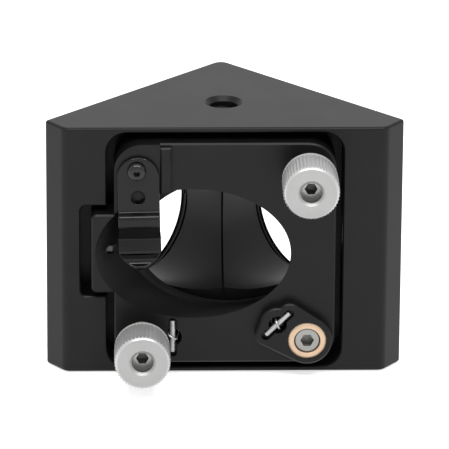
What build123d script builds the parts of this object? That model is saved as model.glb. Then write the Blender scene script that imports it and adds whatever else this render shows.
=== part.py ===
from build123d import *
import math
import os

# Right-angle kinematic mirror mount. Millimetres, +Z up, X across the front, +Y to the rear.
# The origin is the mouth of the post hole in the base. "Depth" is the distance behind the
# housing's front face, so a negative depth stands in front of it.

inch = 25.4
root_two = math.sqrt(2)

# Housing, seen from above: a right-angled corner behind a flat front
housing_width = 66.0
housing_height = 48.1
front_flat_width = 58.8
side_depth = 4.5
edge_round = 0.5
apex_round = 2.0
shoulder_round = 0.6
front_corner_round = 2.0
rim_bevel = 0.22
cut_past = 1.0  # how far a cutting tool runs past a face

# Ports and cage holes in the two rear faces
port_radius = 13.1
port_thread_depth = 3.3
port_mouth_bevel = 0.4
inner_bore_radius = 11.0
cage_spacing = 30.0
cage_hole_radius = 1.2
cage_hole_depth = 4.8
cage_mouth_bevel = 0.25

# Post holes, on one upright axis
post_setback = 14.1
top_hole_radius = 2.65
top_hole_depth = 9.0
top_mouth_radius = 3.5
base_hole_radius = 1.75
base_hole_depth = 8.0

# Adjuster arms from the pivot; the three axes stand evenly about the middle of the plate
yaw_arm = 1.2 * inch
pitch_arm = 1.3 * inch

# Moving plate, with the tab on its left edge
plate_width = 1.6 * inch
plate_height = 1.7 * inch
plate_front = -1.5
plate_thickness = 7.0
plate_bevel = 0.3
tab_reach = 24.5
tab_height = 15.38
tab_thickness = 6.0
tab_corner = 1.0

# Pocket in the front, with room for the plate to swing
side_gap = 1.4
end_gap = 1.5
pocket_depth = 8.5
pocket_corner = 3.75
notch_gap = 1.26
notch_end_gap = 2.05
notch_depth = 7.0
notch_corner = 1.1

# Mirror seat: an oblique bore square to the right port, with a thin ledge behind
mirror_bore_radius = 12.7
mirror_axis_depth = 4.35
ledge_bore_radius = 12.05
ledge_depth = 4.6

# Adjusters
screw_radius = 2.38
screw_clearance = 0.04
bushing_radius = 3.1
knob_front = -14.1
knob_length = 7.4
knob_radius = 5.15
flute_count = 48
flute_depth = 0.22
knob_bevel = 0.45
knob_bore_radius = 1.9
knob_mouth_radius = 2.45
screw_end_inset = 2.5
adjuster_socket = 2.5
adjuster_socket_depth = 2.2

# Balls and their seats
ball_radius = 1.7
ball_depth = 6.7
ball_clearance = 0.02
cup_lip = 0.5
seat_radius = 2.6
seat_face = 7.4
seat_foot = 10.0
seat_edge_bevel = 0.2
seat_flat = 0.2  # half the flat at the bottom of the cone and the groove

# Pivot bearing
pivot_ring_radius = 3.6
pivot_ring_bevel = 0.45
pivot_screw_radius = 2.25
pivot_screw_inset = 0.35
pivot_socket = 2.2
pivot_socket_depth = 1.6

# Raised island round the pivot and the right-hand spring pin
island_front = -3.7
island_bevel = 0.3
pivot_boss_radius = 4.6
spring_boss_radius = 3.3
slot_end_radius = 2.0

# Rib and raised pad at the top left of the plate
rib_left = -11.95
rib_width = 2.1
rib_front = -2.55
rib_bevel = 0.3
rib_top_gap = 0.5
pad_front = -2.2

# Return springs, with a pin across each end. Heights are measured below mid-height.
left_spring_x = -9.56
left_spring_drop = 16.55
right_spring_x = 9.76
right_spring_drop = 13.3
spring_hole_radius = 1.7
spring_hole_depth = 18.2
spring_radius = 1.35
spring_wire = 0.4
hook_radius = 0.95
hook_leg = 1.35
hook_seat = 0.1
front_pin_radius = 0.475
front_pin_length = 6.15
slot_width = 1.65
slot_length = 7.8
slot_floor = 1.1
left_pin_angle = 90.0
right_pin_angle = 45.0
left_hook_angle = -30.0
right_hook_angle = -68.0
rear_pin_radius = 0.6
rear_pin_depth = 15.6
rear_pin_end_gap = 0.6

# Clamp spring that holds the mirror down. Heights are measured above mid-height.
clamp_x = -15.97
clamp_width = 7.7
clamp_thickness = 0.9
clamp_top = 19.4
clamp_fold = 9.5
clamp_tip = -3.2
clamp_tip_length = 5.2  # the tongue's end is half an ellipse, longer than it is wide
clamp_bead = 1.35       # how far the folded bead stands out
clamp_bead_drop = 3.1   # from the fold down to the bead's lower corner
clamp_belly = 3.1       # how far the tongue reaches back from the flat
clamp_belly_drop = 7.0  # from the fold down to the belly
clamp_waist = 1.1       # how far the tongue comes forward again below the belly
clamp_waist_rise = 3.6  # from the tip up to that waist
clamp_heel = 0.2        # the heel of the curl, short of the belly
clamp_heel_rise = 1.8
clamp_curl = 1.0        # how far the tip curls forward of the belly
clamp_bend_radius = 0.75
clamp_lean = 1.2        # degrees that the strip sits turned about its screw
clamp_screw_x = -16.2
clamp_screw_height = 16.85
clamp_screw_radius = 0.9
clamp_screw_depth = 5.0
clamp_screw_clearance = 0.1
clamp_head_radius = 1.75
clamp_head_height = 1.3
clamp_head_bevel = 0.45
clamp_socket = 1.25
clamp_socket_depth = 0.8
clamp_pin_height = 11.61
clamp_pin_radius = 0.95
clamp_pin_depth = 3.5
clamp_pin_proud = 0.2
clamp_pin_bevel = 0.25
clamp_pin_clearance = 0.3

# Set screw that holds the mirror sideways, with a soft tip
set_screw_depth = 1.5
set_screw_radius = 1.0
set_screw_inset = 0.2   # behind the tab's end face
set_screw_setback = 0.8 # behind the wall of the mirror bore
set_tip_radius = 0.62
set_tip_reach = 0.3     # past the wall of the mirror bore
set_tip_socket = 1.2
set_tip_bevel = 0.2
set_socket = 0.9
set_socket_depth = 1.2

mid_height = housing_height / 2
apex_depth = side_depth + housing_width / 2
leg_distance = housing_width / (2 * root_two)
plate_back = plate_front + plate_thickness
plate_corner = (plate_width - yaw_arm) / 2
plate_top = mid_height + plate_height / 2
pivot_axis = (yaw_arm / 2, mid_height - pitch_arm / 2)
upper_axis = (pivot_axis[0], pivot_axis[1] + pitch_arm)
lower_axis = (pivot_axis[0] - yaw_arm, pivot_axis[1])
screw_end = ball_depth - cup_lip
left_spring = (left_spring_x, mid_height - left_spring_drop)
right_spring = (right_spring_x, mid_height - right_spring_drop)
clamp_screw_axis = (clamp_screw_x, mid_height + clamp_screw_height)
clamp_pin_axis = (clamp_x, mid_height + clamp_pin_height)
set_screw_outer = set_screw_inset - tab_reach
mirror_wall_x = set_screw_depth - mirror_axis_depth - root_two * mirror_bore_radius
set_screw_inner = mirror_wall_x - set_screw_setback


def at(x, depth, z):
    return Vector(x, depth - post_setback, z)


def front_plane(depth):
    return Plane(origin=at(0, depth, 0), x_dir=(1, 0, 0), z_dir=(0, -1, 0))


def slab(sketch, front, rear):
    # a front-view outline made solid between two depths
    return extrude(front_plane(rear) * sketch, rear - front)


def rod(radius, start, direction, length):
    placed = Plane(origin=start, z_dir=direction)
    return placed * Cylinder(radius, length, align=(Align.CENTER, Align.CENTER, Align.MIN))


def bar(radius, axis, front, rear):
    # a round bar along the depth, on an (x, z) axis
    return rod(radius, at(axis[0], front, axis[1]), (0, 1, 0), rear - front)


def cone(near, far, start, direction, length):
    placed = Plane(origin=start, z_dir=direction)
    return placed * Cone(near, far, length, align=(Align.CENTER, Align.CENTER, Align.MIN))


def hex_prism(across, start, direction, length):
    outline = RegularPolygon(across / 2, 6, major_radius=False)
    return extrude(Plane(origin=start, z_dir=direction) * outline, length)


def ball(axis, radius):
    centre = at(axis[0], ball_depth, axis[1])
    return Pos(centre.X, centre.Y, centre.Z) * Sphere(radius)


def rear_edges(solid):
    return solid.edges().group_by(Axis.Y)[-1]


def front_edges(solid):
    return solid.edges().group_by(Axis.Y)[0]


# Housing

def housing_outline():
    half_flat = front_flat_width / 2
    half_width = housing_width / 2
    corners = [
        at(-half_flat, 0, 0),
        at(half_flat, 0, 0),
        at(half_width, side_depth, 0),
        at(0, apex_depth, 0),
        at(-half_width, side_depth, 0),
    ]
    outline = make_face(Polyline(*corners, close=True))
    outline = fillet(outline.vertices().sort_by(Axis.Y)[-1], apex_round)
    shoulders = [v for v in outline.vertices() if abs(v.X) > half_width - 0.01]
    outline = fillet(shoulders, shoulder_round)
    return fillet(outline.vertices().group_by(Axis.Y)[0], front_corner_round)


def housing_blank():
    blank = extrude(housing_outline(), housing_height, dir=(0, 0, 1))
    levels = blank.edges().group_by(Axis.Z)
    return fillet(levels[0] + levels[-1], edge_round)


def rear_direction(side):
    return Vector(side, 1, 0).normalized()


def rear_point(side, out, across=0, up=0):
    # measured from the optical centre: out along a port axis, across its face, and up
    outward = rear_direction(side)
    along = Vector(side, -1, 0).normalized()
    centre = at(0, side_depth, mid_height)
    return centre + outward * out + along * across + Vector(0, 0, up)


def port_cut(side):
    outward = rear_direction(side)
    bore = rod(inner_bore_radius, rear_point(side, 0), outward, leg_distance)
    thread_start = rear_point(side, leg_distance - port_thread_depth)
    thread = rod(port_radius, thread_start, outward, port_thread_depth + cut_past)
    mouth_start = rear_point(side, leg_distance - port_mouth_bevel)
    mouth = cone(port_radius, port_radius + port_mouth_bevel, mouth_start, outward, port_mouth_bevel)
    return bore + thread + mouth


def cage_cuts(side):
    outward = rear_direction(side)
    half = cage_spacing / 2
    cuts = []
    for across in (-half, half):
        for up in (-half, half):
            start = rear_point(side, leg_distance - cage_hole_depth, across, up)
            cuts.append(rod(cage_hole_radius, start, outward, cage_hole_depth + cut_past))
            mouth = rear_point(side, leg_distance - cage_mouth_bevel, across, up)
            wide = cage_hole_radius + cage_mouth_bevel
            cuts.append(cone(cage_hole_radius, wide, mouth, outward, cage_mouth_bevel))
    return cuts


def pocket_cut():
    pocket_width = plate_width + 2 * side_gap
    pocket_height = plate_height + 2 * end_gap
    notch_width = tab_reach + notch_end_gap
    notch_height = tab_height + 2 * notch_gap
    outline = Pos(0, mid_height) * RectangleRounded(pocket_width, pocket_height, pocket_corner)
    notch = Pos(-notch_width / 2, mid_height) * RectangleRounded(notch_width, notch_height, notch_corner)
    body = slab(outline, -cut_past, pocket_depth) + slab(notch, -cut_past, notch_depth)
    rim = extrude(front_plane(rim_bevel) * (outline + notch), rim_bevel, taper=-45)
    return body + rim


def post_cuts():
    up = (0, 0, 1)
    top = Vector(0, 0, housing_height - top_hole_depth)
    top_flare = top_mouth_radius - top_hole_radius
    return [
        rod(top_hole_radius, top, up, top_hole_depth + cut_past),
        cone(top_hole_radius, top_mouth_radius, (0, 0, housing_height - top_flare), up, top_flare),
        rod(base_hole_radius, (0, 0, -cut_past), up, base_hole_depth + cut_past),
    ]


def seat_cuts():
    return [bar(seat_radius, axis, seat_face, seat_foot) for axis in (pivot_axis, upper_axis, lower_axis)]


def spring_cuts():
    cuts = []
    for axis in (left_spring, right_spring):
        cuts.append(bar(spring_hole_radius, axis, seat_face, spring_hole_depth))
        base = at(axis[0], rear_pin_depth, -cut_past)
        cuts.append(rod(rear_pin_radius, base, (0, 0, 1), rear_pin_height(axis) + cut_past))
    return cuts


def rear_pin_height(axis):
    return axis[1] + spring_hole_radius - rear_pin_end_gap


def housing():
    body = housing_blank() - pocket_cut()
    for side in (-1, 1):
        body -= port_cut(side)
        body -= cage_cuts(side)
    body -= post_cuts()
    body -= seat_cuts()
    return body - spring_cuts()


# Seats in the housing for the three balls

def seat_blank(axis, face):
    blank = bar(seat_radius, axis, face, seat_foot)
    return chamfer(front_edges(blank), seat_edge_bevel)


def seat_touch():
    # depth and radius of the ring where a right-angled cone meets the ball
    lean = (ball_radius + ball_clearance) / root_two
    return ball_depth + lean, lean


def cone_seat():
    touch_depth, touch_radius = seat_touch()
    mouth = touch_radius + touch_depth - seat_face
    point = at(pivot_axis[0], seat_face, pivot_axis[1])
    hollow = cone(mouth, seat_flat, point, (0, 1, 0), mouth - seat_flat)
    return seat_blank(pivot_axis, seat_face) - hollow


def vee_seat():
    touch_depth, touch_radius = seat_touch()
    mouth = touch_radius + touch_depth - seat_face
    corners = [(-mouth, 0), (mouth, 0), (seat_flat, mouth - seat_flat), (-seat_flat, mouth - seat_flat)]
    profile = make_face(Polyline(*corners, close=True))
    start = at(lower_axis[0] - seat_radius - cut_past, seat_face, lower_axis[1])
    groove = Plane(origin=start, x_dir=(0, 0, -1), z_dir=(1, 0, 0)) * profile
    return seat_blank(lower_axis, seat_face) - extrude(groove, 2 * (seat_radius + cut_past))


def flat_seat():
    return seat_blank(upper_axis, ball_depth + ball_radius + ball_clearance)


# Moving plate

def plate_centre(x=0.0):
    return Pos(x, mid_height)


def plate_blank():
    outline = plate_centre() * RectangleRounded(plate_width, plate_height, plate_corner)
    blank = slab(outline, plate_front, plate_back)
    blank = chamfer(front_edges(blank) + rear_edges(blank), plate_bevel)
    tab_outline = plate_centre(-tab_reach / 2) * RectangleRounded(tab_reach, tab_height, tab_corner)
    tab = slab(tab_outline, plate_front, plate_front + tab_thickness)
    return blank + chamfer(front_edges(tab), plate_bevel)


def hull_of(*circles):
    edges = [edge for x, z, radius in circles for edge in (Pos(x, z) * Circle(radius)).edges()]
    return make_hull(edges)


def pin_ends(axis, angle):
    half = front_pin_length / 2
    step = (half * math.cos(math.radians(angle)), half * math.sin(math.radians(angle)))
    return (axis[0] - step[0], axis[1] - step[1]), (axis[0] + step[0], axis[1] + step[1])


def island():
    low, high = pin_ends(right_spring, right_pin_angle)
    first = (low[0], low[1], slot_end_radius)
    last = (high[0], high[1], slot_end_radius)
    middle = (right_spring[0], right_spring[1], spring_boss_radius)
    corner = (pivot_axis[0], pivot_axis[1], pivot_boss_radius)
    outline = hull_of(first, middle, corner) + hull_of(last, corner)
    solid = slab(outline, island_front, plate_front + island_bevel)
    return chamfer(front_edges(solid), island_bevel)


def upright_block(left, right, low, high):
    return Pos((left + right) / 2, (low + high) / 2) * Rectangle(right - left, high - low)


def rib():
    outline = upright_block(rib_left, rib_left + rib_width, mid_height, plate_top - rib_top_gap)
    solid = slab(outline, rib_front, plate_front + rib_bevel)
    return chamfer(front_edges(solid), rib_bevel)


def pad():
    block = upright_block(-plate_width / 2, rib_left, mid_height + tab_height / 2, plate_top)
    plate_outline = plate_centre() * RectangleRounded(plate_width, plate_height, plate_corner)
    return slab(block & plate_outline, pad_front, plate_front + plate_bevel)


def oblique_bar(radius, front, rear):
    # a round bar square to the right port, cut off at two depths behind the housing's front
    reach = 2 * plate_width
    middle = at(0, mirror_axis_depth, mid_height)
    bar_start = middle - rear_direction(1) * reach
    layer = plate_centre() * Rectangle(2 * reach, 2 * reach)
    return rod(radius, bar_start, rear_direction(1), 2 * reach) & slab(layer, front, rear)


def mirror_bore():
    front = island_front - cut_past
    seat = oblique_bar(mirror_bore_radius, front, ledge_depth)
    return seat + oblique_bar(ledge_bore_radius, front, plate_back + cut_past)


def pin_slot(axis, angle, face):
    outline = Pos(*axis) * Rot(0, 0, angle) * SlotOverall(slot_length, slot_width)
    return slab(outline, face - cut_past, face + slot_floor)


def plate_holes():
    front = island_front - cut_past
    back = plate_back + cut_past
    holes = [bar(pivot_ring_radius, pivot_axis, front, back)]
    holes += [bar(bushing_radius, axis, front, back) for axis in (upper_axis, lower_axis)]
    holes += [bar(spring_hole_radius, axis, front, back) for axis in (left_spring, right_spring)]
    holes.append(pin_slot(left_spring, left_pin_angle, plate_front))
    holes.append(pin_slot(right_spring, right_pin_angle, island_front))
    holes.append(bar(clamp_screw_radius, clamp_screw_axis, front, pad_front + clamp_screw_depth))
    holes.append(bar(clamp_pin_radius, clamp_pin_axis, front, pad_front + clamp_pin_depth))
    start = at(-tab_reach - cut_past, set_screw_depth, mid_height)
    holes.append(rod(set_screw_radius, start, (1, 0, 0), mirror_wall_x + cut_past - start.X))
    return holes


def mirror_plate():
    body = plate_blank() + island() + rib() + pad()
    return body - mirror_bore() - plate_holes()


# Adjusters

def bushing(axis):
    outer = bar(bushing_radius, axis, plate_front, plate_back)
    bore = bar(screw_radius + screw_clearance, axis, plate_front - cut_past, plate_back + cut_past)
    return outer - bore


def cupped(screw, axis):
    return screw - ball(axis, ball_radius + ball_clearance)


def adjuster_screw(axis):
    front = knob_front + screw_end_inset
    screw = bar(screw_radius, axis, front, screw_end)
    socket = hex_prism(adjuster_socket, at(axis[0], front, axis[1]), (0, 1, 0), adjuster_socket_depth)
    return cupped(screw - socket, axis)


def fluted_outline():
    # alternate high and low points round the rim make the straight flutes
    points = []
    for step in range(2 * flute_count):
        angle = math.pi * step / flute_count
        radius = knob_radius if step % 2 == 0 else knob_radius - flute_depth
        points.append((radius * math.cos(angle), radius * math.sin(angle)))
    return make_face(Polyline(*points, close=True))


def knob_envelope(axis):
    core = bar(knob_radius, axis, knob_front, knob_front + knob_length)
    return chamfer(front_edges(core) + rear_edges(core), knob_bevel)


def knob(axis):
    rear = knob_front + knob_length
    body = slab(Pos(*axis) * fluted_outline(), knob_front, rear) & knob_envelope(axis)
    body -= bar(knob_bore_radius, axis, knob_front - cut_past, rear)
    body -= bar(screw_radius, axis, knob_front + screw_end_inset, rear + cut_past)
    flare = knob_mouth_radius - knob_bore_radius
    point = at(axis[0], knob_front, axis[1])
    return body - cone(knob_mouth_radius, knob_bore_radius, point, (0, 1, 0), flare)


# Pivot bearing

def pivot_bushing():
    ring = bar(pivot_ring_radius, pivot_axis, island_front, plate_back)
    ring = chamfer(front_edges(ring), pivot_ring_bevel)
    return ring - bar(pivot_screw_radius, pivot_axis, island_front - cut_past, plate_back + cut_past)


def pivot_screw():
    front = island_front + pivot_screw_inset
    screw = bar(pivot_screw_radius, pivot_axis, front, screw_end)
    point = at(pivot_axis[0], front, pivot_axis[1])
    screw -= hex_prism(pivot_socket, point, (0, 1, 0), pivot_socket_depth)
    return cupped(screw, pivot_axis)


# Return springs and their pins

def front_pin(axis, angle, face):
    low, high = pin_ends(axis, angle)
    depth = face + slot_floor - front_pin_radius
    start = at(low[0], depth, low[1])
    finish = at(high[0], depth, high[1])
    return rod(front_pin_radius, start, finish - start, front_pin_length)


def rear_pin(axis):
    return rod(rear_pin_radius, at(axis[0], rear_pin_depth, 0), (0, 0, 1), rear_pin_height(axis))


def hook(axis, pin_depth, hook_angle, facing):
    # a half loop of wire over a pin, with straight legs back to the coils
    lean = math.radians(hook_angle)
    across = Vector(math.cos(lean), 0, math.sin(lean))
    back = Vector(0, -facing, 0)
    centre = at(axis[0], pin_depth, axis[1])
    first = centre + across * hook_radius
    last = centre - across * hook_radius
    crown = centre - back * hook_radius
    foot = first + back * hook_leg
    path = Line(foot, first) + ThreePointArc(first, crown, last) + Line(last, last + back * hook_leg)
    wire = Plane(origin=foot, z_dir=-back) * RegularPolygon(spring_wire / 2, 6)
    return sweep(wire, path=path)


def spring(axis, pin_face, front_angle):
    # close-wound coils as one sleeve with closed ends, and a hook standing on each end
    front_depth = pin_face + slot_floor - front_pin_radius
    coil_front = front_depth + hook_leg - hook_seat
    coil_rear = rear_pin_depth - hook_leg + hook_seat
    coils = bar(spring_radius, axis, coil_front, coil_rear)
    hollow = bar(spring_radius - spring_wire, axis, coil_front + spring_wire, coil_rear - spring_wire)
    front = hook(axis, front_depth, front_angle, -1)
    rear = hook(axis, rear_pin_depth, 0.0, 1)
    return coils - hollow + front + rear


# Clamp spring and the small screws

def clamp_path():
    # side view of the strip's middle line: down the pad, out over a bead, back into the
    # mirror bore, and out again at the curled tip. Local x is depth, local y is height.
    flat = pad_front - clamp_thickness / 2
    fold = mid_height + clamp_fold
    tip = mid_height + clamp_tip
    return FilletPolyline(
        (flat, mid_height + clamp_top),
        (flat, fold),
        (flat - clamp_bead, fold - clamp_bead),
        (flat - clamp_bead, fold - clamp_bead_drop),
        (flat + clamp_belly, fold - clamp_belly_drop),
        (flat + clamp_belly - clamp_waist, tip + clamp_waist_rise),
        (flat + clamp_belly - clamp_heel, tip + clamp_heel_rise),
        (flat + clamp_belly - clamp_curl, tip),
        radius=clamp_bend_radius,
    )


def clamp_outline():
    half = clamp_width / 2
    high = mid_height + clamp_top - half
    low = mid_height + clamp_tip + clamp_tip_length
    straight = upright_block(clamp_x - half, clamp_x + half, low, high)
    return straight + Pos(clamp_x, high) * Circle(half) + Pos(clamp_x, low) * Ellipse(half, clamp_tip_length)


def clamp_spring():
    side = Plane(origin=at(clamp_x - clamp_width, 0, 0), x_dir=(0, 1, 0), z_dir=(1, 0, 0))
    band = extrude(side * trace(clamp_path(), clamp_thickness), 2 * clamp_width)
    front = pad_front - clamp_thickness - clamp_bead
    strip = band & slab(clamp_outline(), front, pad_front + clamp_belly + clamp_thickness)
    screw_x, screw_z = clamp_screw_axis
    strip = strip.rotate(Axis(at(screw_x, 0, screw_z), (0, -1, 0)), clamp_lean)
    back = pad_front + cut_past
    strip -= bar(clamp_screw_radius + clamp_screw_clearance, clamp_screw_axis, front, back)
    return strip - bar(clamp_pin_radius + clamp_pin_clearance, clamp_pin_axis, front, back)


def clamp_screw():
    under = pad_front - clamp_thickness
    front = under - clamp_head_height
    head = chamfer(front_edges(bar(clamp_head_radius, clamp_screw_axis, front, under)), clamp_head_bevel)
    shank = bar(clamp_screw_radius, clamp_screw_axis, under, pad_front + clamp_screw_depth)
    point = at(clamp_screw_axis[0], front, clamp_screw_axis[1])
    return head + shank - hex_prism(clamp_socket, point, (0, 1, 0), clamp_socket_depth)


def clamp_pin():
    front = pad_front - clamp_thickness - clamp_pin_proud
    pin = bar(clamp_pin_radius, clamp_pin_axis, front, pad_front + clamp_pin_depth)
    return chamfer(front_edges(pin), clamp_pin_bevel)


def set_screw():
    start = at(set_screw_outer, set_screw_depth, mid_height)
    screw = rod(set_screw_radius, start, (1, 0, 0), set_screw_inner - set_screw_outer)
    screw -= hex_prism(set_socket, start, (1, 0, 0), set_socket_depth)
    seat = at(set_screw_inner - set_tip_socket, set_screw_depth, mid_height)
    return screw - rod(set_tip_radius, seat, (1, 0, 0), set_tip_socket + cut_past)


def set_screw_tip():
    foot = at(set_screw_inner - set_tip_socket, set_screw_depth, mid_height)
    tip = rod(set_tip_radius, foot, (1, 0, 0), mirror_wall_x + set_tip_reach - foot.X)
    return chamfer(tip.edges().group_by(Axis.X)[-1], set_tip_bevel)


parts = {
    "housing": housing(),
    "cone_seat": cone_seat(),
    "vee_seat": vee_seat(),
    "flat_seat": flat_seat(),
    "left_rear_pin": rear_pin(left_spring),
    "right_rear_pin": rear_pin(right_spring),
    "left_spring": spring(left_spring, plate_front, left_hook_angle),
    "right_spring": spring(right_spring, island_front, right_hook_angle),
    "pivot_ball": ball(pivot_axis, ball_radius),
    "mirror_plate": mirror_plate(),
    "pivot_bushing": pivot_bushing(),
    "pivot_screw": pivot_screw(),
    "upper_bushing": bushing(upper_axis),
    "lower_bushing": bushing(lower_axis),
    "left_front_pin": front_pin(left_spring, left_pin_angle, plate_front),
    "right_front_pin": front_pin(right_spring, right_pin_angle, island_front),
    "clamp_spring": clamp_spring(),
    "clamp_screw": clamp_screw(),
    "clamp_pin": clamp_pin(),
    "upper_ball": ball(upper_axis, ball_radius),
    "upper_screw": adjuster_screw(upper_axis),
    "upper_knob": knob(upper_axis),
    "lower_ball": ball(lower_axis, ball_radius),
    "lower_screw": adjuster_screw(lower_axis),
    "lower_knob": knob(lower_axis),
    "set_screw": set_screw(),
    "set_screw_tip": set_screw_tip(),
}

os.makedirs("parts", exist_ok=True)
for name, solid in parts.items():
    export_step(solid, os.path.join("parts", name + ".step"))
    box = solid.bounding_box()
    print(name, len(solid.solids()), round(solid.volume, 2), box.min, box.max)
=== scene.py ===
import bpy
import math
from mathutils import Matrix, Vector


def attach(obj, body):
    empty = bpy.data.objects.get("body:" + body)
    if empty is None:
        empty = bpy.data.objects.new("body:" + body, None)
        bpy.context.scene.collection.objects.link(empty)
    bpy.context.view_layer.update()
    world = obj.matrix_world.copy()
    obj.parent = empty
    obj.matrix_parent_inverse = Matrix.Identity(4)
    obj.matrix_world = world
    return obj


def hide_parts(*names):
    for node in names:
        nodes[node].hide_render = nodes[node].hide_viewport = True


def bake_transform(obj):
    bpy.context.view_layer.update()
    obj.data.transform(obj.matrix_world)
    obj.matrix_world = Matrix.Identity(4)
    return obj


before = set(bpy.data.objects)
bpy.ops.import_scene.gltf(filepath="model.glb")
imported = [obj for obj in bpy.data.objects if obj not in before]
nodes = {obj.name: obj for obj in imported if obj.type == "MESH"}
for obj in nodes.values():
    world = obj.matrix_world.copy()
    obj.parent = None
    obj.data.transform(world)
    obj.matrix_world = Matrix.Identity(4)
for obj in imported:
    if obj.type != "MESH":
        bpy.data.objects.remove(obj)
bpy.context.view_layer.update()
mm = 0.001
print("frame loaded:", len(nodes), "nodes")

# the camera, solved from the straight edges of the housing
camera = {
    "lens": 407.95,
    "place": (-0.0239647, -0.8843077, 0.3675425),
    "azimuth": 1.573,      # degrees, turned right of straight ahead
    "elevation": 21.237,   # degrees, looking down
    "roll": 0.380,
    "near": 0.01, "far": 10,
}


def makeCamera():
    a, e, r = (math.radians(camera[k]) for k in ("azimuth", "elevation", "roll"))
    ahead = Vector((math.sin(a) * math.cos(e), math.cos(a) * math.cos(e), -math.sin(e)))
    right = ahead.cross(Vector((0, 0, 1))).normalized()
    up = right.cross(ahead)
    rightRolled = right * math.cos(r) + up * math.sin(r)
    upRolled = up * math.cos(r) - right * math.sin(r)
    turn = Matrix((rightRolled, upRolled, -ahead)).transposed().to_4x4()
    data = bpy.data.cameras.new("photoCamera")
    data.lens = camera["lens"]
    data.clip_start, data.clip_end = camera["near"], camera["far"]
    made = bpy.data.objects.new("photoCamera", data)
    bpy.context.scene.collection.objects.link(made)
    made.matrix_world = Matrix.Translation(camera["place"]) @ turn
    bpy.context.scene.camera = made


makeCamera()
print("camera placed")


def deselect():
    if bpy.context.mode != "OBJECT":
        bpy.ops.object.mode_set(mode="OBJECT")
    bpy.ops.object.select_all(action="DESELECT")


def only(piece):
    # the one piece that the next tool works on
    deselect()
    piece.select_set(True)
    bpy.context.view_layer.objects.active = piece


studio = {
    "sky": 1.3,
    "floorTone": 0.62, "floorRough": 0.9, "floorGloss": 0.1,
    "floorGlow": 0.6,      # the paper is lit from below, so no shadow shows
    "floorSize": 6.0, "floorHeight": -0.0002,
    "aimedAt": (0, -0.01, 0.024),
    # place, width, depth and power of each softbox
    "lamps": [((0.02, -0.34, 0.62), 0.60, 0.15, 3.4), ((-0.25, -0.34, 0.62), 0.08, 0.08, 0.6),
              ((0.29, -0.34, 0.62), 0.08, 0.08, 0.6)],
}


def makeStudio():
    world = bpy.data.worlds.new("lightTent")
    bpy.context.scene.world = world
    world.use_nodes = True
    back = world.node_tree.nodes["Background"]
    back.inputs["Color"].default_value = (1, 1, 1, 1)
    back.inputs["Strength"].default_value = studio["sky"]
    deselect()
    bpy.ops.mesh.primitive_plane_add(size=studio["floorSize"],
                                     location=(0, 0, studio["floorHeight"]))
    floor = bpy.context.object
    floor.name = "studioFloor"
    tone = studio["floorTone"]
    paper = bpy.data.materials.new("paper")
    paper.use_nodes = True
    shader = paper.node_tree.nodes["Principled BSDF"]
    shader.inputs["Base Color"].default_value = (tone, tone, tone, 1)
    shader.inputs["Roughness"].default_value = studio["floorRough"]
    shader.inputs["Specular IOR Level"].default_value = studio["floorGloss"]
    shader.inputs["Emission Color"].default_value = (1, 1, 1, 1)
    shader.inputs["Emission Strength"].default_value = studio["floorGlow"]
    floor.data.materials.append(paper)
    for count, (place, width, depth, power) in enumerate(studio["lamps"]):
        light = bpy.data.lights.new("softbox%d" % count, "AREA")
        light.shape = "RECTANGLE"
        light.size, light.size_y = width, depth
        light.energy = power
        lamp = bpy.data.objects.new("softbox%d" % count, light)
        bpy.context.scene.collection.objects.link(lamp)
        toward = Vector(studio["aimedAt"]) - Vector(place)
        turn = toward.to_track_quat("-Z", "Y").to_matrix().to_4x4()
        lamp.matrix_world = Matrix.Translation(place) @ turn
    bpy.context.scene.view_settings.view_transform = "Standard"


makeStudio()
print("studio ready")

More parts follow.
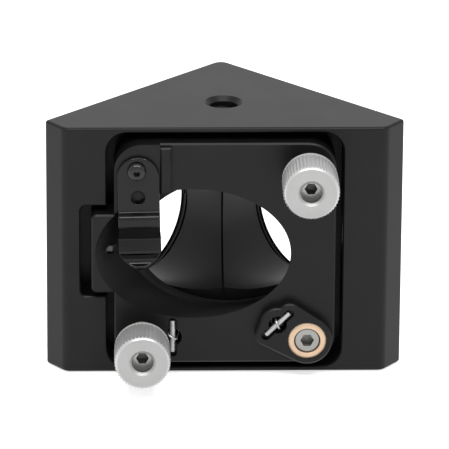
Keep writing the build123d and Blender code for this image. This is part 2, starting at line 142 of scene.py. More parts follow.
# finishes: tone and roughness, with grain per metre, its height in mm and the spread of tone
finishes = {
    "blackAnodised": {"tone": (0.0036, 0.0036, 0.0038), "rough": 0.38, "metal": 0.0, "gloss": 0.165,
                      "grain": 5200, "height": 0.0035, "spread": 0.22},
    "bareShadow": {"tone": (0.0012, 0.0012, 0.0012), "rough": 0.6, "metal": 0.0, "gloss": 0.03,
                   "grain": 5200, "height": 0.002, "spread": 0.3},
    "knobSteel": {"tone": (0.285, 0.285, 0.283), "rough": 0.46, "metal": 0.55, "gloss": 0.4,
                  "grain": 2600, "height": 0.002, "spread": 0.06},
    # lighter tone on the knobs' front bevel: painted highlight; its lower roughness is the turned
    # bevel's own
    "bevelHighlightSteel": {"tone": (0.40, 0.40, 0.398), "rough": 0.32, "metal": 0.8, "gloss": 0.5,
                   "grain": 2600, "height": 0.001, "spread": 0.06},
    # darker tone for the faces inside the knobs' bore: painted shade in the recess
    "recessShadeSteel": {"tone": (0.24, 0.238, 0.23), "rough": 0.34, "metal": 0.9, "gloss": 0.4,
                    "grain": 2600, "height": 0.002, "spread": 0.12},
    # darker, blotched tone for the hex sockets: painted shade in the recess
    "socketPaintedShade": {"tone": (0.15, 0.148, 0.137), "rough": 0.45, "metal": 0.6, "gloss": 0.4,
                   "grain": 2400, "height": 0.014, "spread": 0.75},
    "screwSteel": {"tone": (0.25, 0.25, 0.242), "rough": 0.28, "metal": 1.0, "gloss": 0.5,
                   "grain": 3200, "height": 0.002, "spread": 0.10},
    "seatSteel": {"tone": (0.36, 0.36, 0.36), "rough": 0.34, "metal": 1.0, "gloss": 0.5,
                  "grain": 3000, "height": 0.002, "spread": 0.08},
    "pinSteel": {"tone": (0.35, 0.35, 0.35), "rough": 0.42, "metal": 0.6, "gloss": 0.5,
                 "grain": 4200, "height": 0.005, "spread": 0.16},
    "drawnWire": {"tone": (0.36, 0.36, 0.36), "rough": 0.30, "metal": 0.9, "gloss": 0.5,
                  "grain": 4200, "height": 0.001, "spread": 0.08},
    # a darker copy of the drawn wire for the coils inside their holes: painted shade
    "shadedCoilWire": {"tone": (0.10, 0.10, 0.10), "rough": 0.36, "metal": 0.9, "gloss": 0.4,
                 "grain": 4200, "height": 0.001, "spread": 0.15},
    "ballSteel": {"tone": (0.50, 0.50, 0.51), "rough": 0.10, "metal": 1.0, "gloss": 0.5,
                  "grain": 1800, "height": 0.0004, "spread": 0.03},
    "bronze": {"tone": (0.46, 0.335, 0.232), "rough": 0.36, "metal": 0.7, "gloss": 0.5,
               "grain": 3000, "height": 0.002, "spread": 0.10},
    "blackSpring": {"tone": (0.0035, 0.0035, 0.0038), "rough": 0.11, "metal": 0.0, "gloss": 0.2,
                    "grain": 4600, "height": 0.001, "spread": 0.25},
    "blackOxide": {"tone": (0.0035, 0.0035, 0.0038), "rough": 0.15, "metal": 0.0, "gloss": 0.34,
                   "grain": 4600, "height": 0.001, "spread": 0.25},
    "nylon": {"tone": (0.045, 0.045, 0.043), "rough": 0.5, "metal": 0.0, "gloss": 0.4,
              "grain": 2400, "height": 0.002, "spread": 0.05},
}
# how the grain and the slow clouds of every finish are mixed
mixing = {
    "grainDetail": 3, "cloudScale": 130, "cloudDetail": 4, "grainShare": 0.45,
    "tint": (0.5, 0.95), "roughness": (0.88, 1.12),
}


def makeNoise(tree, place, scale, detail):
    noise = tree.nodes.new("ShaderNodeTexNoise")
    noise.inputs["Scale"].default_value = scale
    noise.inputs["Detail"].default_value = detail
    tree.links.new(place.outputs["Object"], noise.inputs["Vector"])
    return noise


def makeFinish(name):
    s = finishes[name]
    made = bpy.data.materials.new(name)
    made.use_nodes = True
    tree = made.node_tree
    shader = tree.nodes["Principled BSDF"]
    shader.inputs["Metallic"].default_value = s["metal"]
    shader.inputs["Specular IOR Level"].default_value = s["gloss"]
    place = tree.nodes.new("ShaderNodeTexCoord")
    grain = makeNoise(tree, place, s["grain"], mixing["grainDetail"])
    cloud = makeNoise(tree, place, mixing["cloudScale"], mixing["cloudDetail"])
    both = tree.nodes.new("ShaderNodeMath")
    both.operation = "MULTIPLY_ADD"
    tree.links.new(grain.outputs["Fac"], both.inputs[0])
    both.inputs[1].default_value = mixing["grainShare"]
    tree.links.new(cloud.outputs["Fac"], both.inputs[2])
    tint = tree.nodes.new("ShaderNodeValToRGB")
    low, high = tint.color_ramp.elements
    low.position, high.position = mixing["tint"]
    low.color = [c * (1 - s["spread"]) for c in s["tone"]] + [1]
    high.color = [min(1, c * (1 + s["spread"])) for c in s["tone"]] + [1]
    tree.links.new(both.outputs[0], tint.inputs["Fac"])
    tree.links.new(tint.outputs["Color"], shader.inputs["Base Color"])
    rough = tree.nodes.new("ShaderNodeMapRange")
    least, most = mixing["roughness"]
    rough.inputs["To Min"].default_value = s["rough"] * least
    rough.inputs["To Max"].default_value = s["rough"] * most
    tree.links.new(cloud.outputs["Fac"], rough.inputs["Value"])
    tree.links.new(rough.outputs["Result"], shader.inputs["Roughness"])
    bump = tree.nodes.new("ShaderNodeBump")
    bump.inputs["Strength"].default_value = 1.0
    bump.inputs["Distance"].default_value = s["height"] * mm
    tree.links.new(grain.outputs["Fac"], bump.inputs["Height"])
    tree.links.new(bump.outputs["Normal"], shader.inputs["Normal"])
    return made


finish = {name: makeFinish(name) for name in finishes}
print("finishes mixed")

# the mount's layout in millimetres: x across, depth behind the housing's front, height
layout = {
    "setback": 14.1,
    "height": 48.1,
    "midHeight": 24.05,
    "pivot": (15.24, 7.54),
    "upper": (15.24, 40.56),
    "lower": (-15.24, 7.54),
    "islandFront": -3.7,
    "ballDepth": 6.7,
}
weld = 0.0005    # points nearer than this are one


def at(x, depth, z):
    return Vector((x, depth - layout["setback"], z)) * mm


def aim(piece, start, direction, across=None):
    # the piece is made along +Z at the origin, then laid along its real axis
    along = Vector(direction).normalized()
    if across is None:
        across = Vector((1, 0, 0)) if abs(along.x) < 0.9 else Vector((0, 0, 1))
    side = (Vector(across) - along * Vector(across).dot(along)).normalized()
    turn = Matrix((side, along.cross(side), along)).transposed().to_4x4()
    only(piece)
    piece.matrix_world = Matrix.Translation(start) @ turn
    bpy.ops.object.transform_apply(location=True, rotation=True, scale=True)


def openPoint(name, radius, along):
    # a single vertex to draw a profile from
    deselect()
    bpy.ops.mesh.primitive_circle_add(vertices=3, radius=0.1 * mm, location=(0, 0, 0))
    piece = bpy.context.object
    piece.name = name
    bpy.ops.object.mode_set(mode="EDIT")
    bpy.ops.mesh.select_mode(type="VERT")
    bpy.ops.mesh.select_all(action="SELECT")
    bpy.ops.mesh.merge(type="CENTER")
    bpy.ops.transform.translate(value=(radius * mm, 0, along * mm))
    return piece


def drawOn(fromPoint, toPoint):
    step = ((toPoint[0] - fromPoint[0]) * mm, 0, (toPoint[1] - fromPoint[1]) * mm)
    bpy.ops.mesh.extrude_vertices_move(TRANSFORM_OT_translate={"value": step})


def turned(name, profile, steps=64, closed=False):
    # radius and distance along the axis, in mm, spun round as on a lathe
    piece = openPoint(name, *profile[0])
    ends = profile[1:] + profile[:1] if closed else profile[1:]
    for fromPoint, toPoint in zip(profile, ends):
        drawOn(fromPoint, toPoint)
    bpy.ops.mesh.select_all(action="SELECT")
    bpy.ops.mesh.spin(steps=steps, angle=2 * math.pi, center=(0, 0, 0), axis=(0, 0, 1))
    bpy.ops.mesh.select_all(action="SELECT")
    bpy.ops.mesh.remove_doubles(threshold=weld * mm)
    bpy.ops.mesh.normals_make_consistent(inside=False)
    bpy.ops.object.mode_set(mode="OBJECT")
    piece.data.name = name
    return piece


def pick(piece, wanted):
    # selects the vertices that the test wants, ready for an edit-mode tool
    only(piece)
    bpy.ops.object.mode_set(mode="EDIT")
    bpy.ops.mesh.select_mode(type="VERT")
    bpy.ops.mesh.select_all(action="DESELECT")
    bpy.ops.object.mode_set(mode="OBJECT")
    for vertex in piece.data.vertices:
        vertex.select = wanted(vertex.co)
    bpy.ops.object.mode_set(mode="EDIT")


def smooth(piece, angle):
    only(piece)
    bpy.ops.object.shade_smooth_by_angle(angle=math.radians(angle))


def helix(name, section, pitch, turns, steps):
    # a section drawn at its radius and wound up the Z axis
    piece = openPoint(name, *section[0])
    for fromPoint, toPoint in zip(section, section[1:]):
        drawOn(fromPoint, toPoint)
    bpy.ops.mesh.select_all(action="SELECT")
    bpy.ops.mesh.edge_face_add()
    bpy.ops.mesh.delete(type="ONLY_FACE")
    bpy.ops.object.mode_set(mode="OBJECT")
    wind = piece.modifiers.new("wind", "SCREW")
    wind.axis = "Z"
    wind.angle = 2 * math.pi
    wind.screw_offset = pitch * mm
    wind.iterations = turns
    wind.steps = wind.render_steps = steps
    wind.use_merge_vertices = False
    bpy.ops.object.modifier_apply(modifier="wind")
    bpy.ops.object.mode_set(mode="EDIT")
    bpy.ops.mesh.select_all(action="SELECT")
    bpy.ops.mesh.fill_holes(sides=24)
    bpy.ops.mesh.normals_make_consistent(inside=False)
    bpy.ops.object.mode_set(mode="OBJECT")
    piece.data.name = name
    return piece


def cutAway(piece, cutter):
    only(piece)
    cut = piece.modifiers.new("cut", "BOOLEAN")
    cut.operation = "DIFFERENCE"
    cut.solver = "EXACT"
    cut.object = cutter
    bpy.ops.object.modifier_apply(modifier="cut")
    bpy.data.objects.remove(cutter)


def hexSocket(piece, across, depth):
    # cut into the end of the piece that stands at the origin, corners to left and right
    deselect()
    bpy.ops.mesh.primitive_cylinder_add(vertices=6, radius=across / math.sqrt(3) * mm,
                                        depth=2 * depth * mm, rotation=(0, 0, math.radians(30)))
    cutAway(piece, bpy.context.object)


def inSocket(across, depth):
    # the test that finds the faces of such a socket
    within, least = across / 1.7, 0.01
    return lambda c, n: math.hypot(c.x, c.y) < within and least < c.z < depth + least


def breakEdges(piece, sharpFrom, width, segments, smoothTo, clamped):
    # rounds the sharp edges and keeps the flat faces flat
    broken = piece.modifiers.new("brokenEdge", "BEVEL")
    broken.limit_method = "ANGLE"
    broken.angle_limit = math.radians(sharpFrom)
    broken.width = width * mm
    broken.segments = segments
    broken.use_clamp_overlap = clamped
    bpy.ops.object.modifier_apply(modifier="brokenEdge")
    smooth(piece, smoothTo)
    flat = piece.modifiers.new("flatFaces", "WEIGHTED_NORMAL")
    flat.keep_sharp = True
    bpy.ops.object.modifier_apply(modifier="flatFaces")


def join(pieces, name):
    deselect()
    for piece in pieces:
        piece.select_set(True)
    bpy.context.view_layer.objects.active = pieces[0]
    bpy.ops.object.join()
    pieces[0].name = name
    pieces[0].data.name = name
    return pieces[0]


def twin(piece, name):
    other = piece.copy()
    other.data = piece.data.copy()
    other.name = name
    other.data.name = name
    bpy.context.scene.collection.objects.link(other)
    return other


def dress(piece, outer, *parts):
    # one finish all over, and others on the faces that their tests find
    piece.data.materials.clear()
    for name in [outer] + [name for name, wanted in parts]:
        piece.data.materials.append(finish[name])
    for face in piece.data.polygons:
        face.material_index = 0
        for count, (name, wanted) in enumerate(parts):
            if wanted(face.center / mm, face.normal):
                face.material_index = count + 1


def fit(piece, body, slotOf, *stoodFor):
    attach(piece, body)
    if stoodFor:
        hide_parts(*stoodFor)


adjusters = (("upper", "upper_adjuster"), ("lower", "lower_adjuster"))

knobLook = {
    "length": 7.4, "radius": 5.15, "flutes": 48, "fluteDepth": 0.20, "rearDepth": -6.7,
    "faceRadius": 4.66, "mouthRadius": 2.45, "boreRadius": 1.91, "screwRadius": 2.39, "recess": 2.5,
    # the rear rim reaches this far back past the solid's, round a shallow hollow
    "skirt": 0.5, "hollow": 4.3,
    # radius and distance from the rear: the rim, its groove and where the flutes begin
    "rim": [(4.72, 0), (4.98, 0.14), (5.08, 0.36), (5.08, 0.60), (4.88, 0.70), (4.88, 0.86)],
    "valleyFrom": 0.90, "crestFrom": 1.10, "bevelSlope": 1.05,
    # beyond the radius, and down from the front: the rounded edges of the face and its bore
    "faceEdge": [(0.10, 0.095), (0.04, 0.03), (-0.03, 0)],
    "mouthEdge": [(0.03, 0), (-0.05, 0.05)],
    "boreEdge": [(0.04, 0.50), (0, 0.60)],
    "touch": 0.002,
}


def makeKnob(name):
    k = knobLook
    valley = k["radius"] - k["fluteDepth"]
    end, rear = k["length"], -k["skirt"]
    fall = (k["radius"] - k["faceRadius"]) * k["bevelSlope"]
    profile = [(k["screwRadius"], 0), (k["hollow"], 0), (k["hollow"], rear)]
    profile += [(radius, rear + back) for radius, back in k["rim"]]
    profile += [
        (valley, rear + k["valleyFrom"]), (k["radius"], rear + k["crestFrom"]),
        (k["radius"], end - fall), (valley, end - (valley - k["faceRadius"]) * k["bevelSlope"]),
    ]
    for edge in ("face", "mouth", "bore"):
        profile += [(k[edge + "Radius"] + out, end - down) for out, down in k[edge + "Edge"]]
    profile += [(k["boreRadius"], end - k["recess"]), (k["screwRadius"], end - k["recess"])]
    steps = 4 * k["flutes"]
    piece = turned(name, profile, steps, closed=True)
    half = k["fluteDepth"] / 2
    for quarter, depth in ((1, half), (2, k["fluteDepth"]), (3, half)):
        def inFlute(co):
            if abs(math.hypot(co.x, co.y) - k["radius"] * mm) > k["touch"] * mm:
                return False
            return round(math.atan2(co.y, co.x) / (2 * math.pi) * steps) % 4 == quarter
        share = 1 - depth / k["radius"]
        pick(piece, inFlute)
        bpy.ops.transform.resize(value=(share, share, 1), center_override=(0, 0, 0))
    smooth(piece, 30)
    wall, bevel, floor = k["boreRadius"] + 0.03, k["faceRadius"], end - k["boreEdge"][0][1]
    dress(piece, "knobSteel",
          # the faces inside the bore take the painted shade
          ("recessShadeSteel", lambda c, n: math.hypot(c.x, c.y) < wall and c.z < floor),
          # the front bevel takes the painted highlight
          ("bevelHighlightSteel", lambda c, n: math.hypot(c.x, c.y) > bevel and c.z > end - fall))
    return piece


for side, body in adjusters:
    x, z = layout[side]
    piece = makeKnob(side + "KnurledKnob")
    aim(piece, at(x, knobLook["rearDepth"], z), (0, -1, 0))
    fit(piece, body, "knobSteel", side + "_knob")
print("knobs knurled")

screwLook = {
    "radius": 2.38, "root": 2.24, "pitch": 0.254, "socket": 2.06, "socketDepth": 2.2,
    "front": -11.6, "threadFrom": 4.7, "threadTurns": 22, "relief": 0.1, "sunk": 0.02,
    "faceRadius": 2.1, "faceBevel": 0.22, "endBevel": 0.3, "endShort": 0.5,
    # radius and distance back from the end: the cup that holds the ball
    "cup": [(1.646, 0), (1.3, 0.626), (0.8, 1.023), (0, 1.22)],
}


def makeAdjusterScrew(name):
    s = screwLook
    end = layout["ballDepth"] - s["endShort"] - s["front"]
    threadFrom = s["threadFrom"]
    threadTo = threadFrom + s["pitch"] * (s["threadTurns"] + 1)
    profile = [
        (0, 0), (s["faceRadius"], 0), (s["radius"], s["faceBevel"]),
        (s["radius"], threadFrom - s["relief"]), (s["root"], threadFrom), (s["root"], threadTo),
        (s["radius"], threadTo + s["relief"]), (s["radius"], end - s["endBevel"]),
        (s["faceRadius"], end),
    ]
    profile += [(radius, end - back) for radius, back in s["cup"]]
    body = turned(name, profile, 48)
    hexSocket(body, s["socket"], s["socketDepth"])
    # the socket's faces take the painted shade
    dress(body, "screwSteel", ("socketPaintedShade", inSocket(s["socket"], s["socketDepth"])))
    section = [(s["root"] - s["sunk"], threadFrom), (s["radius"], threadFrom + s["pitch"] / 2),
               (s["root"] - s["sunk"], threadFrom + s["pitch"])]
    ridge = helix(name + "Ridge", section, s["pitch"], s["threadTurns"], 40)
    dress(ridge, "screwSteel")
    piece = join([body, ridge], name)
    smooth(piece, 26)
    return piece


for side, body in adjusters:
    x, z = layout[side]
    piece = makeAdjusterScrew(side + "FineScrew")
    aim(piece, at(x, screwLook["front"], z), (0, 1, 0))
    fit(piece, body, "screwSteel", side + "_screw")
print("fine screws threaded")

pivotLook = {
    "ring": [(2.40, 0.10), (2.48, 0), (2.98, 0), (3.08, 0.02), (3.16, 0.06), (3.54, 0.26),
             (3.6, 0.34), (3.6, 9.2), (2.26, 9.2), (2.26, 1.3), (2.40, 1.1)],
    "screw": [(0, 0), (2.10, 0), (2.18, 0.03), (2.24, 0.12), (2.24, 9.3), (2.0, 9.55),
              (1.646, 9.55), (1.3, 8.924), (0.8, 8.527), (0, 8.33)],
    "socket": 2.2, "socketDepth": 1.6, "inset": 0.35,
}


def makePivot():
    p = pivotLook
    x, z = layout["pivot"]
    front = layout["islandFront"]
    ring = turned("pivotBronzeRing", p["ring"], 96, closed=True)
    smooth(ring, 24)
    dress(ring, "bronze")
    aim(ring, at(x, front, z), (0, 1, 0))
    fit(ring, "plate", "bronze", "pivot_bushing")
    screw = turned("pivotScrewFace", p["screw"], 72)
    hexSocket(screw, p["socket"], p["socketDepth"])
    smooth(screw, 26)
    # the socket's faces take the painted shade
    dress(screw, "screwSteel", ("socketPaintedShade", inSocket(p["socket"], p["socketDepth"])))
    aim(screw, at(x, front + p["inset"], z), (0, 1, 0))
    fit(screw, "plate", "screwSteel", "pivot_screw")


makePivot()
print("pivot turned")

springLook = {
    "wire": 0.4, "radius": 1.15, "hook": 0.95, "leg": 1.35, "seat": 0.1, "rearDepth": 15.6,
    "spacing": 1.015, "stretchEnd": 0.6,
    "left": {"axis": (-9.56, 7.50), "pinDepth": -0.875, "angle": -30},
    "right": {"axis": (9.76, 10.75), "pinDepth": -3.075, "angle": -68},
}


def makeHook(name):
    # a half loop over the pin, its two legs going back into the coils
    s = springLook
    leg = s["leg"] * mm
    deselect()
    bpy.ops.mesh.primitive_circle_add(vertices=10, radius=s["wire"] / 2 * mm, fill_type="NGON",
                                      location=(s["hook"] * mm, 0, -leg))
    piece = bpy.context.object
    bpy.ops.object.transform_apply(location=True, rotation=True, scale=True)
    bpy.ops.object.mode_set(mode="EDIT")
    bpy.ops.mesh.select_all(action="SELECT")
    bpy.ops.mesh.extrude_region_move(TRANSFORM_OT_translate={"value": (0, 0, leg)})
    bpy.ops.mesh.spin(steps=18, angle=math.pi, center=(0, 0, 0), axis=(0, 1, 0))
    bpy.ops.mesh.extrude_region_move(TRANSFORM_OT_translate={"value": (0, 0, -leg)})
    bpy.ops.mesh.select_all(action="SELECT")
    bpy.ops.mesh.normals_make_consistent(inside=False)
    bpy.ops.object.mode_set(mode="OBJECT")
    piece.name = name
    piece.data.name = name
    return piece


def makeSpring(side):
    s = springLook
    own = s[side]
    x, z = own["axis"]
    front = own["pinDepth"] + s["leg"] - s["seat"]
    rear = s["rearDepth"] - s["leg"] + s["seat"]
    turns = int((rear - front - s["wire"]) / (s["wire"] * s["spacing"]))
    pitch = (rear - front - s["wire"]) / turns
    half = s["wire"] / 2
    section = [(s["radius"] + half * math.cos(a), half + half * math.sin(a))
               for a in (2 * math.pi * k / 8 for k in range(8))]
    # wound in two lengths that meet at the middle
    middle = front + pitch * (turns // 2)
    lean = math.radians(own["angle"])
    # each length: where it begins and its turns, its hook's depth, way and lean,
    # the bodies it joins, and the depths where the first lets go and the second takes over
    ends = (
        ("Front", front, turns // 2, own["pinDepth"], (0, -1, 0),
         (math.cos(lean), 0, math.sin(lean)),
         ("pivot", "plate"), middle, front + s["stretchEnd"]),
        ("Rear", middle, turns - turns // 2, s["rearDepth"], (0, 1, 0), (1, 0, 0),
         ("housing", "pivot"), rear - s["stretchEnd"], middle),
    )
    for end, begin, count, hookDepth, way, across, bodies, still, carried in ends:
        coil = helix(side + end + "Coil", section, pitch, count, 22)
        # the coils take the shaded copy of the wire: painted shade
        dress(coil, "shadedCoilWire")
        aim(coil, at(x, begin, z), (0, 1, 0))
        hook = makeHook(side + end + "Hook")
        dress(hook, "drawnWire")
        aim(hook, at(x, hookDepth, z), way, across)
        piece = join([coil, hook], side + end + "Spring")
        smooth(piece, 50)
        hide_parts(side + "_spring")
        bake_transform(piece)


for side in ("left", "right"):
    makeSpring(side)
print("return springs wound")

# the pins stand where the springs' front hooks are
pinLook = {
    "radius": 0.475, "length": 6.15, "bevel": 0.14, "shoulder": 0.03,
    "left": 90, "right": 45,    # degrees, turned up from level
}


def makePin(side):
    p = pinLook
    r, b, end = p["radius"], p["bevel"], p["length"]
    inner = r - p["shoulder"]
    profile = [(0, 0), (r - b, 0), (inner, 0.6 * b), (r, b),
               (r, end - b), (inner, end - 0.6 * b), (r - b, end), (0, end)]
    piece = turned(side + "CrossPin", profile, 32)
    smooth(piece, 24)
    x, z = springLook[side]["axis"]
    lean = math.radians(p[side])
    along = Vector((math.cos(lean), 0, math.sin(lean)))
    middle = at(x, springLook[side]["pinDepth"], z)
    aim(piece, middle - along * end / 2 * mm, along, (0, 1, 0))
    dress(piece, "pinSteel")
    fit(piece, "plate", "pinSteel", side + "_front_pin")


for side in ("left", "right"):
    makePin(side)
print("cross pins turned")

clampLook = {
    "centre": -15.97, "width": 7.7, "thickness": 0.9, "lean": 1.2, "edge": 0.3,
    "top": 43.45, "tip": 20.95, "tipLength": 3.6,
    "flare": 0.12, "flareFrom": 28.6, "flareLength": 2,
    # side view of the strip's middle line: depth, height and the radius of the bend there
    "path": [(-2.65, 43.45, 0), (-2.65, 32.66, 1.0), (-4.0, 32.03, 0.62), (-4.0, 30.65, 0.7),
             (0.45, 26.64, 0.9), (-0.65, 24.2, 0.9), (0.12, 22.15, 1.35), (-1.36, 21.0, 0)],
    # rows round the top in degrees, then the spacing of the rows down the strip
    "crownFrom": 6, "crownStep": 7, "crownRows": 13, "rowSpacing": 0.3, "tipSpacing": 0.1,
    "leastDrop": 0.02, "leastHalfWidth": 0.2,
    "screwAxis": (-16.2, 40.90), "screwFront": -4.4, "socket": 1.2, "socketDepth": 1.1,
    "screw": [(0, 0), (0.78, 0), (1.12, 0.07), (1.40, 0.22), (1.60, 0.46), (1.71, 0.76),
              (1.75, 1.08), (1.70, 1.30), (0.88, 1.30), (0.88, 6.8), (0.75, 7.1), (0, 7.1)],
    "pinAxis": (-15.97, 35.66), "pinFront": -2.2,
    "pinHole": 1.25, "drillDepth": -3, "drillLength": 8,
    "pin": [(0, 0), (0.80, 0), (0.94, 0.04), (1.02, 0.12), (1.05, 0.26), (1.05, 3.4), (0.95, 3.5),
            (0, 3.5)],
}


def bentPath(corners, steps=7):
    # the corners of a bent strip rounded to their bend radii
    points = []
    for count, (depth, height, radius) in enumerate(corners):
        here = Vector((depth, height))
        if not radius:
            points.append(here)
            continue
        before = (Vector(corners[count - 1][:2]) - here).normalized()
        after = (Vector(corners[count + 1][:2]) - here).normalized()
        half = before.angle(after) / 2
        reach = radius / math.tan(half)
        centre = here + (before + after).normalized() * radius / math.sin(half)
        first, last = here + before * reach - centre, here + after * reach - centre
        for step in range(steps + 1):
            points.append(centre + first.slerp(last, step / steps).normalized() * radius)
    return points


def halfWidth(height):
    # the outline seen from the front: a round top and a longer, fuller tip
    c = clampLook
    half = c["width"] / 2
    crown, root = c["top"] - half, c["tip"] + c["tipLength"]
    if height > crown:
        return half * math.sqrt(max(0.0, 1 - ((height - crown) / half) ** 2))
    if height < root:
        share = (root - height) / c["tipLength"]
        return (half + c["flare"]) * math.sqrt(max(0.0, 1 - share ** 2))
    return half + c["flare"] * min(1.0, max(0.0, (c["flareFrom"] - height) / c["flareLength"]))


def stripRows():
    # rows down the strip, closer together where its ends are round
    c = clampLook
    half = c["width"] / 2
    crown = c["top"] - half
    route = bentPath(c["path"])
    angles = [math.radians(c["crownFrom"] + c["crownStep"] * k) for k in range(c["crownRows"])]
    rows = [Vector((route[0].x, crown + half * math.cos(a))) for a in angles]
    for fromPoint, toPoint in zip(route, route[1:]):
        spacing = c["rowSpacing"] if toPoint.y > c["tip"] + 1 else c["tipSpacing"]
        count = max(1, round((toPoint - fromPoint).length / spacing))
        for k in range(1, count + 1):
            row = fromPoint.lerp(toPoint, k / count)
            if row.y < rows[-1].y - c["leastDrop"] and row.y < crown:
                rows.append(row)
    return [row for row in rows if halfWidth(row.y) > c["leastHalfWidth"]]


def makeStrip():
    c = clampLook
    rows = stripRows()
    deselect()
    # one edge of a square becomes the strip's top, and the rest is drawn down from it
    bpy.ops.mesh.primitive_plane_add(size=1, location=(0, 0, 0))
    strip = bpy.context.object
    pick(strip, lambda co: co.y > 0)
    bpy.ops.mesh.delete(type="VERT")
    bpy.ops.mesh.select_all(action="SELECT")
    widest = 2 * halfWidth(rows[0].y) * mm
    bpy.ops.transform.resize(value=(widest, 1, 1), center_override=(0, 0, 0))
    start = at(c["centre"], rows[0].x, rows[0].y) + Vector((0, 0.5, 0))
    bpy.ops.transform.translate(value=start)
    for fromRow, toRow in zip(rows, rows[1:]):
        step = (toRow - fromRow) * mm
        bpy.ops.mesh.extrude_edges_move(TRANSFORM_OT_translate={"value": (0, step.x, step.y)})
        wider = halfWidth(toRow.y) / halfWidth(fromRow.y)
        bpy.ops.transform.resize(value=(wider, 1, 1), center_override=(c["centre"] * mm, 0, 0))
    bpy.ops.object.mode_set(mode="OBJECT")
    body = strip.modifiers.new("gauge", "SOLIDIFY")
    body.thickness = c["thickness"] * mm
    body.offset = 0
    body.use_even_offset = True
    bpy.ops.object.modifier_apply(modifier="gauge")
    hub = at(c["screwAxis"][0], 0, c["screwAxis"][1])
    tilt = Matrix.Rotation(math.radians(c["lean"]), 4, Vector((0, -1, 0)))
    strip.matrix_world = Matrix.Translation(hub) @ tilt @ Matrix.Translation(-hub)
    bpy.ops.object.transform_apply(location=True, rotation=True, scale=True)
    bpy.ops.object.mode_set(mode="EDIT")
    bpy.ops.mesh.select_all(action="SELECT")
    bpy.ops.mesh.dissolve_limited(angle_limit=math.radians(0.5))
    bpy.ops.mesh.normals_make_consistent(inside=False)
    deselect()
    x, z = c["pinAxis"]
    bpy.ops.mesh.primitive_cylinder_add(vertices=48, radius=c["pinHole"] * mm,
                                        depth=c["drillLength"] * mm,
                                        location=at(x, c["drillDepth"], z),
                                        rotation=(math.radians(90), 0, 0))
    cutAway(strip, bpy.context.object)
    strip.name = "clampStrip"
    strip.data.name = "clampStrip"
    breakEdges(strip, 50, c["edge"], 3, 40, clamped=False)
    return strip


def makeClamp():
    c = clampLook
    strip = makeStrip()
    dress(strip, "blackSpring")
    fit(strip, "plate", "blackSpring", "clamp_spring")
    screw = turned("clampButtonScrew", c["screw"], 60)
    hexSocket(screw, c["socket"], c["socketDepth"])
    smooth(screw, 30)
    dress(screw, "blackOxide")
    aim(screw, at(c["screwAxis"][0], c["screwFront"], c["screwAxis"][1]), (0, 1, 0))
    fit(screw, "plate", "blackOxide", "clamp_screw")
    pin = turned("clampDowel", c["pin"], 40)
    smooth(pin, 30)
    dress(pin, "blackAnodised")
    aim(pin, at(c["pinAxis"][0], c["pinFront"], c["pinAxis"][1]), (0, 1, 0))
    fit(pin, "plate", "blackOxide", "clamp_pin")


makeClamp()
print("clamp fitted")

threadLook = {
    "port": {"radius": 13.1, "crest": 12.76, "pitch": 0.635, "turns": 4, "steps": 96,
             "from": 0.22, "flat": 0.13},
    "cage": {"radius": 1.2, "crest": 1.06, "pitch": 0.635, "turns": 6, "steps": 24,
             "from": 0.3, "flat": 0.06, "grid": 15.0},
    "top": {"radius": 2.65, "crest": 2.36, "pitch": 1.27, "turns": 5, "steps": 40,
            "from": 0.9, "flat": 0.06},
    "base": {"radius": 1.75, "crest": 1.58, "pitch": 0.7, "turns": 9, "steps": 32,
             "from": 0.2, "flat": 0.06},
    "clear": 0.015, "sunk": 0.4, "gap": 0.02,    # the gap is a share of the pitch
    "rearFace": 23.3345, "apexLine": 4.5,
    # the thread's last crest, faced off flush with the mouth
    "mouth": [(12.76, 0.01), (13.515, 0.01), (13.515, 0.42), (13.09, 0.42), (13.09, 0.30),
              (12.76, 0.11)],
    "floor": 3.3, "innerBore": 11.0, "lip": 0.13, "lipSet": 0.9,
}


def makeThread(name, look):
    # sharp ridges standing in from the wall of a drilled hole
    t = threadLook
    r, c, p = look["radius"] + t["clear"], look["crest"], look["pitch"]
    flat = look["flat"] * p
    begin, end = t["gap"] * p, (1 - t["gap"]) * p
    section = [(r + t["sunk"], begin), (r, begin), (c, p / 2 - flat), (c, p / 2 + flat), (r, end),
               (r + t["sunk"], end)]
    return helix(name, section, p, look["turns"], look["steps"])


def makePort():
    # the thread runs out at the mouth, and a broken edge ends the inner bore
    t = threadLook
    thread = makeThread("portThread", t["port"])
    pick(thread, lambda co: True)
    bpy.ops.transform.translate(value=(0, 0, t["port"]["from"] * mm))
    bpy.ops.object.mode_set(mode="OBJECT")
    mouth = turned("mouth", t["mouth"], 96, closed=True)
    lip = t["lip"]
    radius, depth = t["innerBore"] + t["lipSet"] * lip, t["floor"] + t["lipSet"] * lip
    ring = [(radius + lip * math.cos(math.radians(45 * k)),
             depth + lip * math.sin(math.radians(45 * k))) for k in range(8)]
    edge = turned("innerEdge", ring, 96, closed=True)
    return join([thread, mouth, edge], "portThread")


def rearPoint(side, out, across=0.0, up=0.0):
    # measured from where the two ports' axes meet: out along one, across its face, and up
    outward = Vector((side, 1, 0)).normalized()
    along = Vector((side, -1, 0)).normalized()
    centre = at(0, threadLook["apexLine"], layout["midHeight"])
    return centre + (outward * out + along * across + Vector((0, 0, up))) * mm


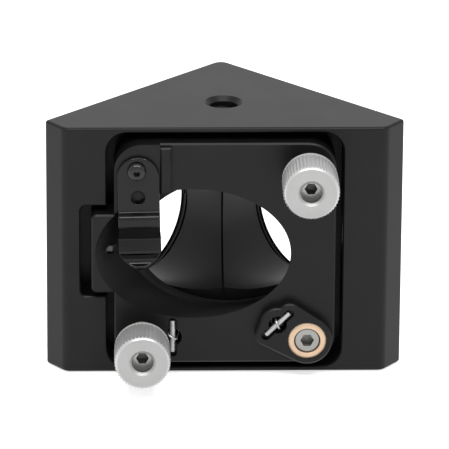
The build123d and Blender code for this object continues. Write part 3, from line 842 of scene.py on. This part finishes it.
def makeHousingThreads():
    t = threadLook
    port = makePort()
    smooth(port, 32)
    hole = makeThread("cageThread", t["cage"])
    smooth(hole, 20)
    grid = t["cage"]["grid"]
    for word, side in (("left", -1), ("right", 1)):
        inward = -Vector((side, 1, 0)).normalized()
        mine = twin(port, word + "PortThread")
        dress(mine, "blackAnodised")
        aim(mine, rearPoint(side, t["rearFace"]), inward)
        fit(mine, "housing", "blackAnodised")
        few = []
        for across in (-1, 1):
            for up in (-1, 1):
                small = twin(hole, "small")
                start = rearPoint(side, t["rearFace"] - t["cage"]["from"], across * grid, up * grid)
                aim(small, start, inward)
                few.append(small)
        mine = join(few, word + "CageThreads")
        dress(mine, "blackAnodised")
        fit(mine, "housing", "blackAnodised")
    bpy.data.objects.remove(port)
    bpy.data.objects.remove(hole)
    for name, start, way in (("top", layout["height"] - t["top"]["from"], -1),
                             ("base", t["base"]["from"], 1)):
        post = makeThread(name + "PostThread", t[name])
        smooth(post, 20)
        aim(post, Vector((0, 0, start)) * mm, (0, 0, way))
        dress(post, "blackAnodised")
        fit(post, "housing", "blackAnodised")


makeHousingThreads()
print("threads cut")

ridgeLook = {"bore": 10.99, "width": 0.34, "thickness": 0.12, "from": 3}


def makeBoreRidge():
    # the narrow land left where the two inner bores meet, dressed near-black as painted shade along
    # that line
    r = ridgeLook
    deselect()
    bpy.ops.mesh.primitive_cylinder_add(vertices=128, radius=r["bore"] * mm, depth=r["width"] * mm,
                                        end_fill_type="NOTHING",
                                        location=rearPoint(1, 0), rotation=(0, math.radians(90), 0))
    land = bpy.context.object
    land.scale = (1, math.sqrt(2), 1)
    bpy.ops.object.transform_apply(location=True, rotation=True, scale=True)
    limit = at(0, threadLook["apexLine"] + r["from"], 0).y
    pick(land, lambda co: co.y < limit)
    bpy.ops.mesh.delete(type="VERT")
    bpy.ops.object.mode_set(mode="OBJECT")
    body = land.modifiers.new("body", "SOLIDIFY")
    body.thickness = r["thickness"] * mm
    body.offset = 1
    bpy.ops.object.modifier_apply(modifier="body")
    land.name = "boreRidge"
    land.data.name = "boreRidge"
    smooth(land, 30)
    # near-black finish: painted shade
    dress(land, "bareShadow")
    fit(land, "housing", "blackAnodised")


makeBoreRidge()
print("bore ridge drawn")

plateLook = {"edge": 0.12, "sharpFrom": 32, "flatWithin": 0.6, "segments": 2, "smoothTo": 35}


def makeSoftPlate():
    # the same plate with its sharp edges broken, as they are after deburring
    p = plateLook
    node = nodes["mirror_plate"]
    piece = twin(node, "brokenEdgePlate")
    piece.parent = None
    piece.matrix_world = node.matrix_world
    only(piece)
    bpy.ops.object.transform_apply(location=True, rotation=True, scale=True)
    bpy.ops.object.mode_set(mode="EDIT")
    bpy.ops.mesh.select_all(action="SELECT")
    bpy.ops.mesh.remove_doubles(threshold=weld * mm)
    bpy.ops.mesh.dissolve_limited(angle_limit=math.radians(p["flatWithin"]))
    bpy.ops.mesh.normals_make_consistent(inside=False)
    bpy.ops.object.mode_set(mode="OBJECT")
    breakEdges(piece, p["sharpFrom"], p["edge"], p["segments"], p["smoothTo"], clamped=True)
    dress(piece, "blackAnodised")
    fit(piece, "plate", "blackAnodised", "mirror_plate")


makeSoftPlate()
print("edges broken")

wears = {
    "blackAnodised": ["housing", "mirror_plate"],
    "seatSteel": ["cone_seat", "vee_seat", "flat_seat"],
    "pinSteel": ["left_rear_pin", "right_rear_pin"],
    "ballSteel": ["pivot_ball", "upper_ball", "lower_ball"],
    "bronze": ["upper_bushing", "lower_bushing"],
    "blackOxide": ["set_screw"],
    "nylon": ["set_screw_tip"],
}
for name, worn in wears.items():
    for node in worn:
        for slot in nodes[node].material_slots:
            slot.material = finish[name]
        if not nodes[node].material_slots:
            nodes[node].data.materials.append(finish[name])
print("finishes on")
